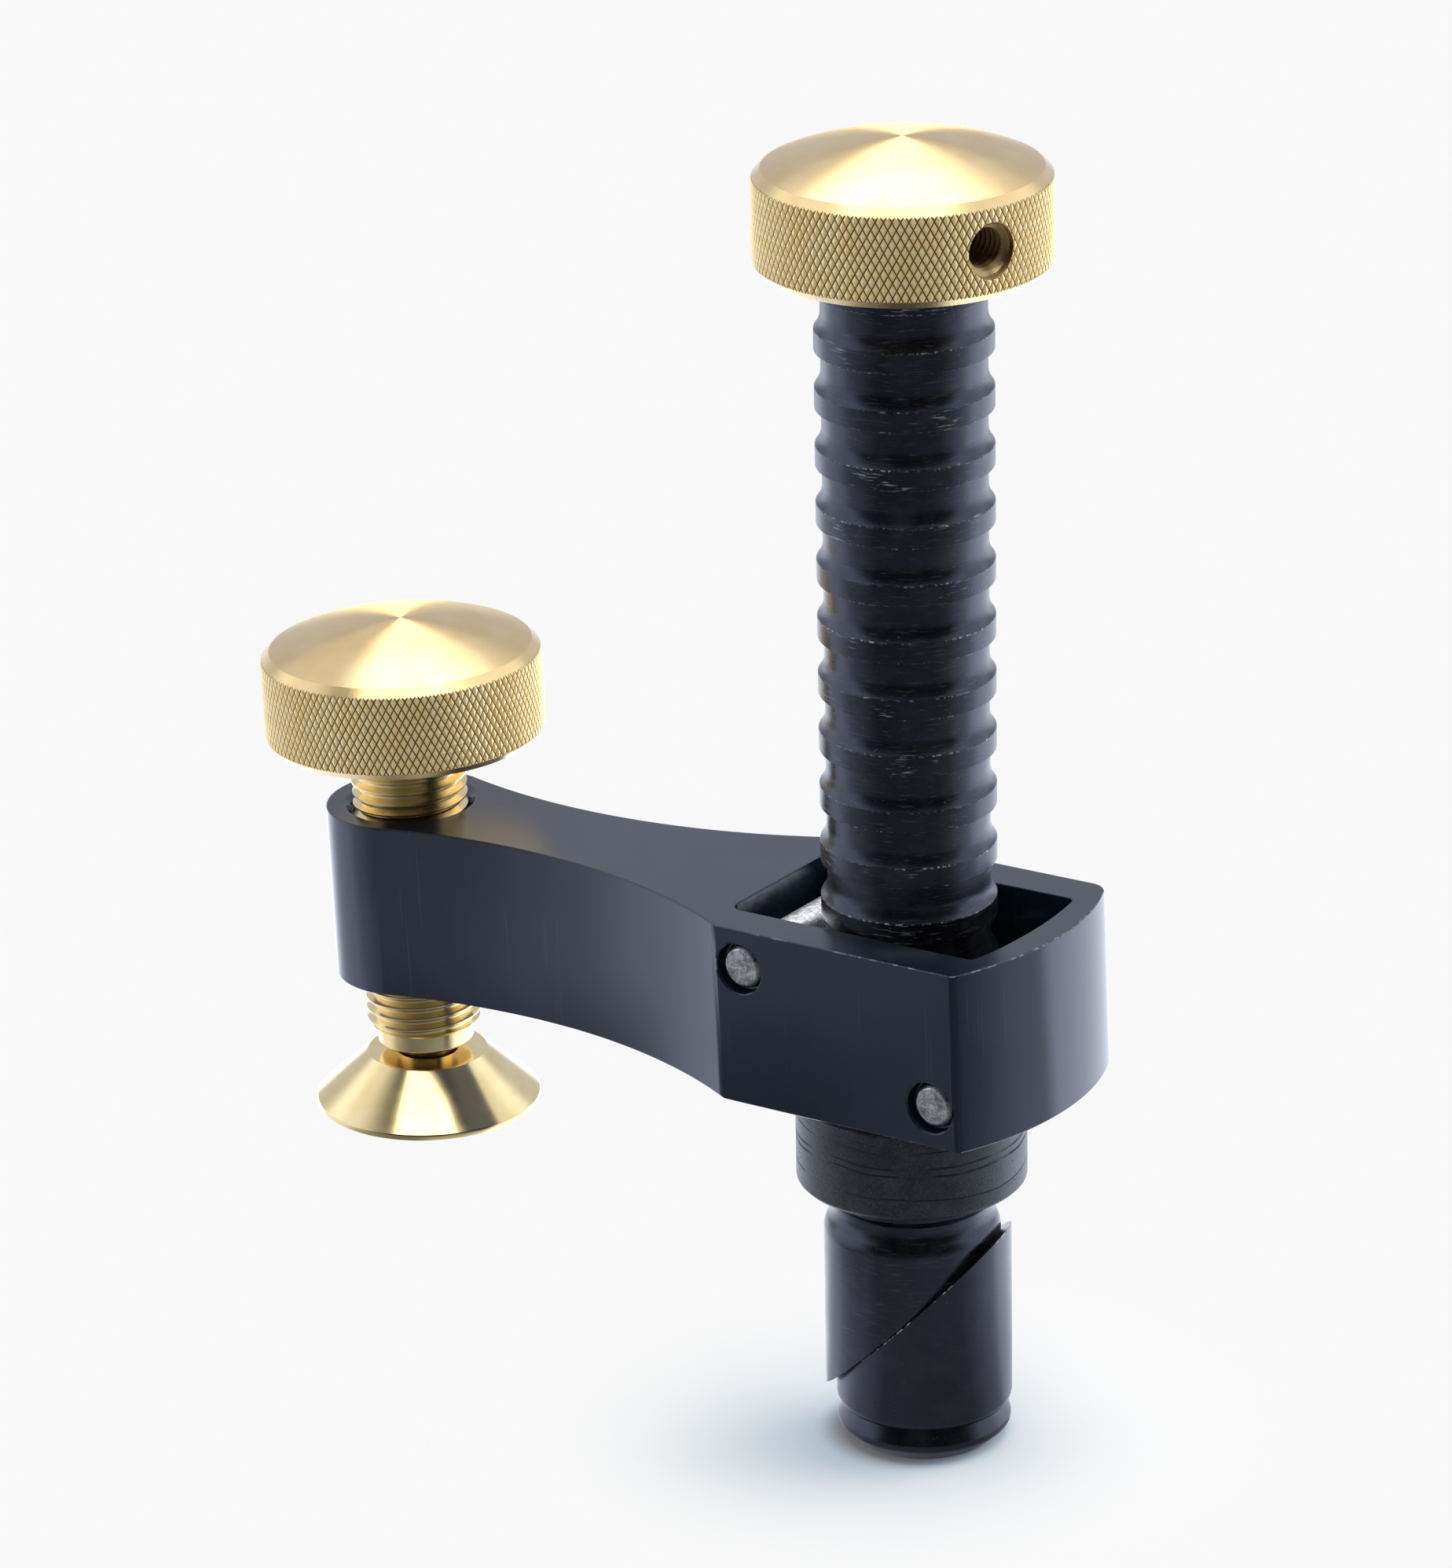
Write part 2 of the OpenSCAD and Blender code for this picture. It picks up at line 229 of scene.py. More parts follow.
POST_PLACE = Matrix.Identity(4)
TOP_KNOB_PLACE = Matrix.Translation((0, 0, KNOB_Z * MM))
ARM_PLACE = Matrix.Translation((0, 0, ARM_TOP * MM)) @ Matrix.Rotation(-SAG, 4, "Y")
SCREW_PLACE = ARM_PLACE @ Matrix.Translation((-REACH * MM, 0, 0))
CLAMP_KNOB_PLACE = SCREW_PLACE @ Matrix.Translation((0, 0, KNOB_LIFT * MM))
PAD_PLACE = Matrix.Translation(Vector(((PAD_LOW.x + PAD_HIGH.x) / 2, 0, PAD_HIGH.z)) * MM)
LIE_ACROSS = Matrix.Rotation(math.pi / 2, 4, "X")


def middle(box):
    """Middle of a box, in millimetres."""
    return (box[0] + box[1]) / 2


# Modelling helpers


def only(piece):
    """Makes one piece the selected and active object, in object mode."""
    if bpy.context.object and bpy.context.object.mode != "OBJECT":
        bpy.ops.object.mode_set(mode="OBJECT")
    bpy.ops.object.select_all(action="DESELECT")
    piece.select_set(True)
    bpy.context.view_layer.objects.active = piece


def finish_modifier(piece, kind, **settings):
    """Adds a modifier with its settings and applies it."""
    only(piece)
    modifier = piece.modifiers.new(kind.lower(), kind)
    for name, value in settings.items():
        setattr(modifier, name, value)
    bpy.ops.object.modifier_apply(modifier=modifier.name)


class Pen:
    """Draws a line from a single vertex, extruded from point to point in one plane."""

    def __init__(self, name, across, up, start):
        bpy.ops.object.select_all(action="DESELECT")
        bpy.ops.mesh.primitive_plane_add(size=1)
        self.piece = bpy.context.object
        self.piece.name = name
        self.across = Vector(across)
        self.up = Vector(up)
        bpy.ops.object.mode_set(mode="EDIT")
        bpy.ops.mesh.select_mode(type="VERT")
        bpy.ops.mesh.merge(type="CENTER")
        bpy.ops.transform.translate(value=self.place(start))
        self.at = start

    def place(self, point):
        return self.across * point[0] + self.up * point[1]

    def line(self, *points):
        """Goes straight to each point in turn."""
        for point in points:
            step = self.place(point) - self.place(self.at)
            bpy.ops.mesh.extrude_region_move(TRANSFORM_OT_translate={"value": step})
            self.at = point

    def arc(self, centre, turn, steps):
        """Follows a circle about a centre, counter-clockwise for a positive turn."""
        dx = self.at[0] - centre[0]
        dy = self.at[1] - centre[1]
        radius = math.hypot(dx, dy)
        first = math.atan2(dy, dx)
        for i in range(1, steps + 1):
            angle = first + turn * i / steps
            self.line((centre[0] + radius * math.cos(angle), centre[1] + radius * math.sin(angle)))

    def ease(self, end, steps):
        """Sways up or down to an end point with an S of two equal arcs, upright at both ends."""
        dr = end[0] - self.at[0]
        dz = end[1] - self.at[1]
        radius = (dr * dr + dz * dz) / (4 * abs(dr))
        half = math.asin(abs(dz) / (2 * radius))
        side = math.copysign(1, dr)
        spin = math.copysign(1, dr * dz) * -1
        self.arc((self.at[0] + side * radius, self.at[1]), spin * half, steps)
        self.arc((end[0] - side * radius, end[1]), -spin * half, steps)

    def close(self):
        """Merges what meets, turns the faces outward and leaves edit mode."""
        bpy.ops.mesh.select_all(action="SELECT")
        bpy.ops.mesh.remove_doubles(threshold=MERGE)
        bpy.ops.mesh.normals_make_consistent(inside=False)
        bpy.ops.object.mode_set(mode="OBJECT")
        return self.piece

    def turn(self, steps=TURN_STEPS):
        """Turns the line about the upright axis into a closed body."""
        bpy.ops.mesh.select_all(action="SELECT")
        bpy.ops.mesh.spin(steps=steps, angle=2 * math.pi, center=(0, 0, 0), axis=(0, 0, 1))
        return self.close()

    def raise_up(self, height):
        """Fills the closed outline and pulls it up into a block."""
        bpy.ops.mesh.select_all(action="SELECT")
        bpy.ops.mesh.remove_doubles(threshold=MERGE)
        bpy.ops.mesh.edge_face_add()
        bpy.ops.mesh.extrude_region_move(TRANSFORM_OT_translate={"value": (0, 0, height)})
        return self.close()


def profile(name, start):
    """A pen for a turned profile: radius across, height up."""
    return Pen(name, (1, 0, 0), (0, 0, 1), start)


def plan(name, start):
    """A pen for an outline seen from above."""
    return Pen(name, (1, 0, 0), (0, 1, 0), start)


def cut(piece, tool, operation="DIFFERENCE"):
    """Cuts a piece with a tool body, which is used up."""
    finish_modifier(piece, "BOOLEAN", object=tool, operation=operation, solver="EXACT")
    bpy.data.objects.remove(tool)


def move(piece, place):
    """Moves a piece's mesh, with the object left at the origin."""
    only(piece)
    piece.matrix_world = place
    bpy.ops.object.transform_apply(location=True, rotation=True, scale=True)
    return piece


def soften(piece, width, segments=2, angle=35):
    """Rounds the edges that are sharper than an angle, in degrees."""
    finish_modifier(piece, "BEVEL", width=width, segments=segments, limit_method="ANGLE",
                    angle_limit=math.radians(angle), use_clamp_overlap=False)


def polish(piece, angle=30):
    """Smooth shading, crisp past an angle in degrees, its normals led by the large faces."""
    only(piece)
    bpy.ops.object.shade_smooth_by_angle(angle=math.radians(angle))
    finish_modifier(piece, "WEIGHTED_NORMAL", keep_sharp=True)


def slice_off(piece, drop, below):
    """Cuts a piece along the slant, keeping what lies above it, or below it."""
    only(piece)
    bpy.ops.object.mode_set(mode="EDIT")
    bpy.ops.mesh.select_all(action="SELECT")
    lean = math.sin(CUT_ANGLE)
    normal = (-lean * math.cos(CUT_TURN), -lean * math.sin(CUT_TURN), math.cos(CUT_ANGLE))
    bpy.ops.mesh.bisect(plane_co=(0, 0, -drop), plane_no=normal, use_fill=True,
                        clear_inner=not below, clear_outer=below)
    bpy.ops.mesh.select_all(action="SELECT")
    bpy.ops.mesh.normals_make_consistent(inside=False)
    bpy.ops.object.mode_set(mode="OBJECT")


def select_edges(piece, test):
    """Selects the edges whose two ends pass a test, and goes into edit mode."""
    only(piece)
    bpy.ops.object.mode_set(mode="EDIT")
    bpy.ops.mesh.select_mode(type="EDGE")
    bpy.ops.mesh.select_all(action="DESELECT")
    bpy.ops.object.mode_set(mode="OBJECT")
    points = piece.data.vertices
    for edge in piece.data.edges:
        a, b = edge.vertices
        edge.select = test(points[a].co, points[b].co)
    bpy.ops.object.mode_set(mode="EDIT")


def thread(name, radius, depth, pitch, low, high):
    """A threaded rod with a true helix, trimmed square at both ends."""
    root = radius - depth
    flat = THREAD_FLAT * pitch
    flank = THREAD_FLANK * pitch
    start = low - THREAD_SPARE * pitch
    pen = profile(name, (root, start))
    pen.line((root, start + flat), (radius, start + flat + flank))
    pen.line((radius, start + 2 * flat + flank), (root, start + pitch))
    bpy.ops.object.mode_set(mode="OBJECT")
    rod = pen.piece
    turns = math.ceil((high - low) / pitch) + round(2 * THREAD_SPARE)
    finish_modifier(rod, "SCREW", axis="Z", steps=BORE_STEPS, render_steps=BORE_STEPS, iterations=turns,
                    screw_offset=pitch, use_merge_vertices=True, merge_threshold=MERGE)
    bpy.ops.object.mode_set(mode="EDIT")
    bpy.ops.mesh.select_all(action="SELECT")
    bpy.ops.mesh.remove_doubles(threshold=MERGE)
    bpy.ops.mesh.fill_holes(sides=0)
    bpy.ops.mesh.select_all(action="SELECT")
    bpy.ops.mesh.normals_make_consistent(inside=False)
    bpy.ops.object.mode_set(mode="OBJECT")
    pen = profile("trim", (0, low))
    pen.line((root, low), (radius + depth, low + 2 * depth), (radius + depth, high), (0, high))
    cut(rod, pen.turn(BORE_STEPS), "INTERSECT")
    return rod


# Pieces, each modelled in millimetres in its own frame


def ringed_post():
    pen = profile("ringed_post", (ROD_BORE_R, POST_TOP))
    pen.line((RING_R, POST_TOP))
    groove_r = RING_R - RING_DEPTH
    cove_r = (RING_DEPTH ** 2 + RING_COVE ** 2) / (2 * RING_DEPTH)
    for i in range(RING_COUNT):
        top = POST_TOP - i * RING_PITCH
        next_top = COLLAR_H if i == RING_COUNT - 1 else top - RING_PITCH
        pen.line((RING_R, top - RING_LAND), (groove_r, top - RING_LAND))
        pen.line((groove_r, next_top + RING_COVE))
        pen.arc((groove_r + cove_r, next_top + RING_COVE), math.asin(RING_COVE / cove_r), RING_COVE_STEPS)
    pen.line((RING_R, 0), (NECK_R, 0), (NECK_R, NECK_LINE + NECK_LINE_ABOVE))
    pen.line((NECK_R - NECK_LINE_DEPTH, NECK_LINE), (NECK_R, NECK_LINE - NECK_LINE_BELOW))
    pen.line((NECK_R, NECK_TOP))
    pen.ease((BENCH_STEM_R, NECK_FOOT), NECK_STEPS)
    pen.line((BENCH_STEM_R, FOOT_Z), (ROD_BORE_R, FOOT_Z), (ROD_BORE_R, POST_TOP))
    post = pen.turn()
    slice_off(post, CUT_DROP, below=False)
    soften(post, POST_EDGE)
    polish(post)
    return post


def bench_collar():
    chamfer = COLLAR_CHAMFER
    pen = profile("bench_collar", (COLLAR_BORE_R, 0))
    pen.line((COLLAR_R - chamfer, 0), (COLLAR_R, chamfer), (COLLAR_R, COLLAR_H - chamfer))
    pen.line((COLLAR_R - chamfer, COLLAR_H), (COLLAR_BORE_R, COLLAR_H), (COLLAR_BORE_R, 0))
    collar = pen.turn()
    soften(collar, COLLAR_EDGE)
    polish(collar)
    return collar


def wedge_foot():
    bead = Vector((BEAD_WIDE_R - BEAD_R, BEAD_WIDEST))
    under = bead + Vector((math.cos(BEAD_UNDER), math.sin(BEAD_UNDER))) * BEAD_R
    pen = profile("wedge_foot", (0, FOOT_Z))
    pen.line((BEAD_FACE_R, FOOT_Z), under)
    pen.arc(bead, BEAD_FLARE - BEAD_UNDER, BEAD_STEPS)
    corner = Vector((BENCH_STEM_R - FOOT_ROUND, FOOT_ROUND_TOP))
    lower = math.asin((NOTCH_Z - FOOT_ROUND_TOP) / FOOT_ROUND) * NOTCH_EASE
    pen.line((NOTCH_R, NOTCH_Z), corner + Vector((math.cos(lower), math.sin(lower))) * FOOT_ROUND)
    pen.arc(corner, -lower, FOOT_ROUND_STEPS)
    pen.line((BENCH_STEM_R, 0), (0, 0))
    wedge = pen.turn()
    slide = Vector((math.cos(CUT_TURN), math.sin(CUT_TURN), 0))
    move(wedge, Matrix.Translation(slide * WEDGE_SHIFT))
    slice_off(wedge, CUT_DROP + CUT_GAP, below=True)
    hole_at = slide * (WEDGE_SHIFT - WEDGE_MOST / 2)
    only(wedge)
    bpy.ops.object.select_all(action="DESELECT")
    bpy.ops.mesh.primitive_cylinder_add(vertices=BORE_STEPS, radius=WEDGE_HOLE_R, depth=-2 * FOOT_Z,
                                        location=hole_at)
    cut(wedge, bpy.context.object)
    slot_at = hole_at + Vector((0, 0, NUT_SLOT_TOP - NUT_SLOT_DEPTH / 2))
    bpy.ops.object.select_all(action="DESELECT")
    bpy.ops.mesh.primitive_cylinder_add(vertices=BORE_STEPS, radius=NUT_SLOT_R, depth=NUT_SLOT_DEPTH,
                                        location=slot_at)
    slot = bpy.context.object
    flats_at = hole_at + Vector((0, 0, FOOT_Z))
    bpy.ops.object.select_all(action="DESELECT")
    bpy.ops.mesh.primitive_cube_add(size=1, location=flats_at, rotation=(0, 0, CUT_TURN),
                                    scale=(4 * NUT_SLOT_R, 2 * NUT_SLOT_HALF, NUT_SLOT_TOOL))
    cut(slot, bpy.context.object, "INTERSECT")
    cut(wedge, slot)
    soften(wedge, WEDGE_EDGE)
    polish(wedge)
    return wedge


def knurled_bar(low, high):
    """A bar with raised diamonds all round, longer than the knob."""
    rows = round((high - low) / KNURL_ROW)
    bpy.ops.object.select_all(action="DESELECT")
    bpy.ops.mesh.primitive_cylinder_add(vertices=KNURL_COUNT, radius=KNOB_R - KNURL_DEPTH - KNURL_CROWN,
                                        depth=high - low, end_fill_type="NOTHING",
                                        location=(0, 0, (low + high) / 2))
    bar = move(bpy.context.object, bpy.context.object.matrix_world.copy())
    select_edges(bar, lambda a, b: abs(a.z - b.z) > 1)
    bpy.ops.mesh.subdivide(number_cuts=rows - 1)
    bpy.ops.mesh.select_all(action="SELECT")
    bpy.ops.mesh.poke()
    row = (high - low) / rows
    inside = low + row / 4, high - row / 4

    def in_grid(a, b):
        level = abs(a.z - b.z) < row / 8
        upright = abs(a.z - b.z) > row * 0.8
        return upright or (level and inside[0] < a.z < inside[1])

    select_edges(bar, in_grid)
    bpy.ops.mesh.dissolve_edges(use_verts=False)
    bpy.ops.mesh.select_mode(type="FACE")
    bpy.ops.mesh.select_all(action="SELECT")
    bpy.ops.mesh.inset(use_individual=True, thickness=KNURL_GROOVE, depth=KNURL_DEPTH)
    bpy.ops.mesh.inset(use_individual=True, thickness=KNURL_EDGE, depth=KNURL_CROWN)
    bpy.ops.mesh.select_all(action="SELECT")
    bpy.ops.mesh.fill_holes(sides=0)
    bpy.ops.mesh.select_all(action="SELECT")
    bpy.ops.mesh.normals_make_consistent(inside=False)
    bpy.ops.object.mode_set(mode="OBJECT")
    return bar


def solid_knob(name):
    """A turned and knurled knob, standing on its underside, with no holes yet."""
    face_r = KNOB_R - KNOB_CHAMFER
    shoulder = 2 * KNOB_CHAMFER + KNURL_H
    dome_r = (face_r ** 2 + DOME_H ** 2) / (2 * DOME_H)
    rim_r = KNOB_R + KNURL_SPARE
    pen = profile("turned_body", (0, 0))
    pen.line((face_r, 0), (rim_r, KNOB_CHAMFER + KNURL_SPARE))
    pen.line((rim_r, shoulder - KNOB_CHAMFER - KNURL_SPARE), (face_r, shoulder))
    pen.arc((0, shoulder + DOME_H - dome_r), math.asin(face_r / dome_r), DOME_STEPS)
    body = pen.turn()
    soften(body, KNOB_EDGE)
    knob = knurled_bar(-PAST, KNOB_TOTAL + PAST)
    knob.name = name
    cut(knob, body, "INTERSECT")
    return knob


def bore_knob(knob, bore_r, hole_turn):
    """Bores a knob for its shaft and drills the threaded radial hole."""
    pen = profile("bore", (0, -PAST))
    pen.line((bore_r, -PAST), (bore_r, HUB_DEPTH), (0, HUB_DEPTH))
    cut(knob, pen.turn(SHAFT_STEPS))
    radial = Matrix.Rotation(hole_turn, 4, "Z")
    radial = radial @ Matrix.Translation((0, 0, KNOB_CHAMFER + KNURL_H / 2))
    radial = radial @ Matrix.Rotation(math.pi / 2, 4, "Y")
    tap = thread("tap", KNOB_HOLE_R + KNOB_TAP_OVER, KNOB_TAP_DEPTH, KNOB_HOLE_PITCH, KNOB_HOLE_START, KNOB_R)
    cut(knob, move(tap, radial))
    seat = KNOB_R - KNOB_MOUTH
    flare_end = KNOB_R + KNOB_FLARE_OUT
    pen = profile("mouth", (0, seat))
    pen.line((KNOB_MOUTH_R - KNOB_MOUTH_SEAT, seat), (KNOB_MOUTH_R, seat + KNOB_MOUTH_SEAT))
    pen.line((KNOB_MOUTH_R, KNOB_R - KNOB_FLARE_IN), (KNOB_MOUTH_R + KNOB_FLARE, flare_end), (0, flare_end))
    cut(knob, move(pen.turn(BORE_STEPS), radial))
    polish(knob, KNOB_CREASE)


def draw_far_end(pen, end, radius, half_width, front_corner, back_corner):
    """Draws the end of the front wall and a rounded far end with filleted corners."""
    centre = end - radius
    spans = []
    for corner in (front_corner, back_corner):
        y = half_width - corner
        x = math.sqrt((radius - corner) ** 2 - y ** 2)
        spans.append((x + centre, y, math.atan2(y, x)))
    (front_x, front_y, front_angle), (back_x, back_y, back_angle) = spans
    pen.line((front_x, -half_width))
    pen.arc((front_x, -front_y), math.pi / 2 - front_angle, FRONT_CORNER_STEPS)
    pen.arc((centre, 0), front_angle + back_angle, TAIL_STEPS)
    pen.arc((back_x, back_y), math.pi / 2 - back_angle, BACK_CORNER_STEPS)


def milled_arm():
    hollow = HOLLOW_R + WAIST_R
    apart = HOLLOW_R + NOSE_R - NOSE_BITE
    hollow_at = REACH - math.sqrt(apart ** 2 - hollow ** 2)
    flat_at = hollow_at - math.sqrt(HOLLOW_R ** 2 - (hollow - HOUSE_R) ** 2)
    line_up = math.atan2(hollow, REACH - hollow_at)
    nose_angle = line_up + math.acos((NOSE_R ** 2 + apart ** 2 - HOLLOW_R ** 2) / (2 * NOSE_R * apart))
    hollow_angle = line_up - math.acos((HOLLOW_R ** 2 + apart ** 2 - NOSE_R ** 2) / (2 * HOLLOW_R * apart))
    hollow_turn = math.pi - hollow_angle - math.atan2(hollow - HOUSE_R, hollow_at - flat_at)
    pen = plan("milled_arm", (-flat_at, -HOUSE_R))
    draw_far_end(pen, TAIL, TAIL_R, HOUSE_R, TAIL_FRONT_CORNER, TAIL_BACK_CORNER)
    pen.line((-flat_at, HOUSE_R))
    pen.arc((-hollow_at, hollow), -hollow_turn, HOLLOW_STEPS)
    pen.arc((-REACH, 0), 2 * (math.pi - nose_angle), NOSE_STEPS)
    pen.arc((-hollow_at, -hollow), -hollow_turn, HOLLOW_STEPS)
    arm = pen.raise_up(-ARM_H)

    corner = POCKET_CORNER
    pen = plan("pocket", (-POCKET_IN + corner, -POCKET_R))
    draw_far_end(pen, TAIL - TAIL_WALL, POCKET_END_R, POCKET_R, POCKET_FAR_CORNER, POCKET_FAR_CORNER)
    pen.line((-POCKET_IN + corner, POCKET_R))
    pen.arc((-POCKET_IN + corner, POCKET_R - corner), math.pi / 2, POCKET_CORNER_STEPS)
    pen.line((-POCKET_IN, -POCKET_R + corner))
    pen.arc((-POCKET_IN + corner, -POCKET_R + corner), math.pi / 2, POCKET_CORNER_STEPS)
    pocket = pen.raise_up(-ARM_H - 2 * PAST)
    cut(arm, move(pocket, Matrix.Translation((0, 0, PAST))))

    bore_r = SCREW_BORE_R
    sink_r = bore_r + SCREW_SINK + PAST
    pen = profile("screw_hole", (0, -ARM_H - PAST))
    pen.line((sink_r, -ARM_H - PAST), (bore_r, -ARM_H + SCREW_SINK), (bore_r, -SCREW_SINK))
    pen.line((sink_r, PAST), (0, PAST))
    cut(arm, move(pen.turn(SHAFT_STEPS), Matrix.Translation((-REACH, 0, 0))))

    to_arm = ARM_PLACE.inverted()
    for pin in (UPPER_PIN, LOWER_PIN):
        at = to_arm @ (middle(pin) * MM) / MM
        pen = profile("pin_hole", (0, -HOUSE_R - PAST))
        pen.line((PIN_MOUTH_R, -HOUSE_R - PAST), (PIN_MOUTH_R, -HOUSE_R + PIN_MOUTH))
        pen.line((PIN_BORE_R, -HOUSE_R + PIN_MOUTH), (PIN_BORE_R, HOUSE_R - PIN_MOUTH))
        pen.line((PIN_MOUTH_R, HOUSE_R - PIN_MOUTH), (PIN_MOUTH_R, HOUSE_R + PAST), (0, HOUSE_R + PAST))
        cut(arm, move(pen.turn(BORE_STEPS), Matrix.Translation(at) @ LIE_ACROSS))
    soften(arm, ARM_EDGE, ARM_EDGE_STEPS, ARM_EDGE_ANGLE)
    crease = NOSE_R * math.cos(nose_angle) - REACH

    def at_crease(a, b):
        return abs(a.x - crease) < NEAR and abs(b.x - crease) < NEAR

    select_edges(arm, at_crease)
    bpy.ops.mesh.mark_sharp()
    polish(arm, ARM_CREASE)
    return arm


def cross_pin(name, box):
    radius = (box[1].x - box[0].x) / 2
    half = (box[1].y - box[0].y) / 2
    pen = profile(name, (0, -half))
    pen.line((radius - PIN_CHAMFER, -half), (radius, -half + PIN_CHAMFER))
    pen.line((radius, half - PIN_CHAMFER), (radius - PIN_CHAMFER, half), (0, half))
    pin = pen.turn(PIN_STEPS)
    soften(pin, PIN_EDGE)
    polish(pin)
    return pin


def clamp_screw():
    screw = thread("threaded_screw", SCREW_R, SCREW_DEPTH, SCREW_PITCH, THREAD_END, THREAD_TOP)
    pen = profile("plain_end", (0, THREAD_END + PAST))
    pen.line((PLAIN_R, THREAD_END + PAST), (PLAIN_R, PLAIN_END + PLAIN_CHAMFER))
    pen.line((PLAIN_R - PLAIN_CHAMFER, PLAIN_END), (STUB_R, PLAIN_END), (STUB_R, CLIP_AT + CLIP_HALF))
    pen.line((STUB_NECK_R, CLIP_AT + CLIP_HALF), (STUB_NECK_R, CLIP_AT - CLIP_HALF))
    pen.line((STUB_R, CLIP_AT - CLIP_HALF), (STUB_R, STUB_END + STUB_CHAMFER))
    pen.line((STUB_R - STUB_CHAMFER, STUB_END), (0, STUB_END))
    end = pen.turn(SHAFT_STEPS)
    soften(end, SCREW_EDGE)
    cut(screw, end, "UNION")
    polish(screw, SCREW_CREASE)
    return screw


def turned_pad():
    pad_r = (PAD_HIGH.x - PAD_LOW.x) / 2
    height = PAD_HIGH.z - PAD_LOW.z
    pen = profile("turned_pad", (0, -PAD_WELL))
    pen.line((PAD_WELL_R, -PAD_WELL), (PAD_WELL_R, -PAD_ROOM), (PAD_ROOM_R, -PAD_ROOM))
    pen.line((PAD_ROOM_R, -PAD_LIP), (PAD_LIP_R, -PAD_LIP), (PAD_LIP_R, 0), (PAD_TOP_R, 0))
    pen.line((pad_r, PAD_RIM - height), (pad_r, -height), (0, -height))
    pad = pen.turn()
    soften(pad, PAD_EDGE)
    polish(pad)
    return pad


# Finishes


NOISE_ROUGH = 0.55


class Shade:
    """A shader value that takes part in plain arithmetic: each operation adds a Math node."""

    def __init__(self, nodes, socket):
        self.nodes = nodes
        self.socket = socket

    def math(self, operation, *values):
        inputs = dict(enumerate(values))
        return self.nodes.node("ShaderNodeMath", {"operation": operation}, inputs)

    def __add__(self, other):
        return self.math("ADD", self, other)

    def __sub__(self, other):
        return self.math("SUBTRACT", self, other)

    def __rsub__(self, other):
        return self.math("SUBTRACT", other, self)

    def __mul__(self, other):
        return self.math("MULTIPLY", self, other)

    def __truediv__(self, other):
        return self.math("DIVIDE", self, other)

    def __pow__(self, other):
        return self.math("POWER", self, other)

    def __mod__(self, other):
        return self.math("FLOORED_MODULO", self, other)

    def __abs__(self):
        return self.math("ABSOLUTE", self)

    __radd__ = __add__
    __rmul__ = __mul__


class Nodes:
    """Adds nodes to one shader tree."""

    def __init__(self, tree):
        self.tree = tree

    def node(self, kind, settings, inputs, output=0):
        """Adds a node, sets its settings and its sockets, and gives one of its outputs."""
        made = self.tree.nodes.new(kind)
        for name, value in settings.items():
            setattr(made, name, value)
        for key, value in inputs.items():
            self.feed(made.inputs[key], value)
        return Shade(self, made.outputs[output])

    def feed(self, socket, value):
        """Links a shader value to a socket, or sets a plain value on it."""
        if isinstance(value, Shade):
            self.tree.links.new(value.socket, socket)
        else:
            socket.default_value = value

    def rise(self, value, low, high):
        """A soft step from 0 at low to 1 at high."""
        return self.node("ShaderNodeMapRange", {"interpolation_type": "SMOOTHSTEP"}, {
            "Value": value, "From Min": low, "From Max": high})

    def least(self, first, second):
        """The smaller of two values."""
        return first.math("MINIMUM", first, second)

    def part(self, vector, axis):
        return self.node("ShaderNodeSeparateXYZ", {}, {0: vector}, axis)

    def mix(self, first, second, share):
        """Blends two colours by a share from 0 to 1."""
        return self.node("ShaderNodeMix", {"data_type": "RGBA"}, {0: share, 6: first, 7: second}, 2)


class Finish(Nodes):
    """One procedural material, built up node by node, with its coordinates in millimetres."""

    def __init__(self, name, place=None):
        self.material = bpy.data.materials.new(name)
        self.material.use_nodes = True
        super().__init__(self.material.node_tree)
        self.surface = self.tree.nodes["Principled BSDF"]
        place = place or Matrix.Identity(4)
        at = self.node("ShaderNodeTexCoord", {}, {}, "Object")
        self.at = self.node("ShaderNodeMapping", {"vector_type": "TEXTURE"}, {
            "Vector": at, "Location": place.to_translation(), "Rotation": place.to_euler(),
            "Scale": (MM, MM, MM)})
        self.x, self.y, self.z = (self.part(self.at, axis) for axis in "XYZ")
        self.r = (self.x * self.x + self.y * self.y) ** 0.5

    def point(self, x, y, z):
        return self.node("ShaderNodeCombineXYZ", {}, {0: x, 1: y, 2: z})

    def noise(self, at, scale, detail=3):
        """Cloudy noise from 0 to 1, with its scale in cells for each millimetre."""
        return self.node("ShaderNodeTexNoise", {}, {
            "Vector": at, "Scale": scale, "Detail": detail, "Roughness": NOISE_ROUGH})

    def lines(self, along, scale, detail=2):
        """Noise of one number, for lines that run square to it."""
        return self.node("ShaderNodeTexNoise", {"noise_dimensions": "1D"}, {
            "W": along, "Scale": scale, "Detail": detail})

    def pits(self, scale, size):
        """1 in small scattered dots, 0 elsewhere."""
        far = self.node("ShaderNodeTexVoronoi", {}, {"Vector": self.at, "Scale": scale}, "Distance")
        return self.rise(far, size, size * 0.5)

    def bump(self, height, distance):
        """Bump from a height, its distance in millimetres."""
        return self.node("ShaderNodeBump", {}, {"Height": height, "Distance": distance * MM, "Strength": 1.0})

    def set(self, **values):
        """Sets or links sockets of the surface shader, with spaces for underscores."""
        for name, value in values.items():
            self.feed(self.surface.inputs[name.replace("_", " ")], value)
        return self.material


def colour(red, green, blue):
    return red, green, blue, 1


